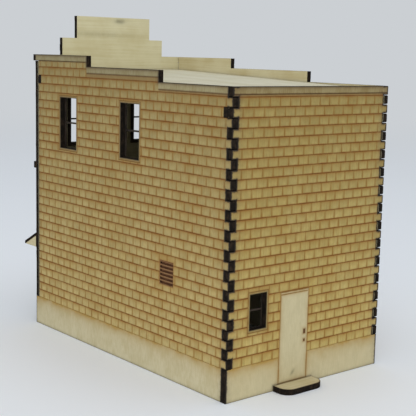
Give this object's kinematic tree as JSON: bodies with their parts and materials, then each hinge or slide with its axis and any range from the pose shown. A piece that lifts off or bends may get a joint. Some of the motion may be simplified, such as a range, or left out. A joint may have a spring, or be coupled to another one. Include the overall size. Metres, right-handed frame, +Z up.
{
  "type": "tabletop terrain building",
  "caption": "Two-storey block-walled shop building for tabletop games, cut from plywood sheet, with stepped parapets, a stepped false front and a lift-off roof.",
  "frame": {"origin": "on the ground plane, under the middle of the whole outline (awning tip to rear doorstep)", "axes": "+Z up; the shop front with its false front and awning faces -Y and the engraved back door faces +Y; +X is the right-hand side wall seen from the front"},
  "size_m": [0.108, 0.203, 0.1866],
  "materials": {
    "stone_engraved_plywood": "laser-cut plywood engraved with a running bond of blocks, scorched golden brown, charred dark edges",
    "plain_plywood": "plain pale plywood with charred edges",
    "roof_plywood": "plain cream plywood, matt",
    "trim_plywood": "thin plywood strip with charred edges",
    "dark_card": "laser-cut card, scorched dark brown, matt"
  },
  "bodies": {
    "building": {"side_wall_right": "stone_engraved_plywood", "side_wall_left": "stone_engraved_plywood", "rear_wall": "stone_engraved_plywood", "front_wall": "stone_engraved_plywood", "roof_bar_front": "plain_plywood", "roof_bar_rear": "plain_plywood", "floor_ledger_right": "plain_plywood", "floor_ledger_left": "plain_plywood", "front_door": "plain_plywood", "awning_bracket_left": "plain_plywood", "awning_bracket_inner_left": "plain_plywood", "awning_bracket_inner_right": "plain_plywood", "awning_bracket_right": "plain_plywood", "rear_doorstep": "plain_plywood", "front_doorstep": "plain_plywood", "cornice": "trim_plywood", "string_course": "trim_plywood", "awning_board": "trim_plywood", "window_right_front": "dark_card", "window_right_rear": "dark_card", "window_left_front": "dark_card", "window_left_rear": "dark_card", "window_front_left": "dark_card", "window_front_right": "dark_card", "window_rear": "dark_card", "shop_window_left": "dark_card", "shop_window_right": "dark_card"},
    "roof": {"roof_deck": "roof_plywood"},
    "floor": {"upper_floor": "plain_plywood"}
  },
  "joints": [
    {"name": "roof_lift", "type": "slide", "parent": "building", "child": "roof", "axis": [0, 0, 1], "range_m": [0, 0.06]},
    {"name": "floor_lift", "type": "slide", "parent": "building", "child": "floor", "axis": [0, 0, 1], "range_m": [0, 0.045]}
  ]
}
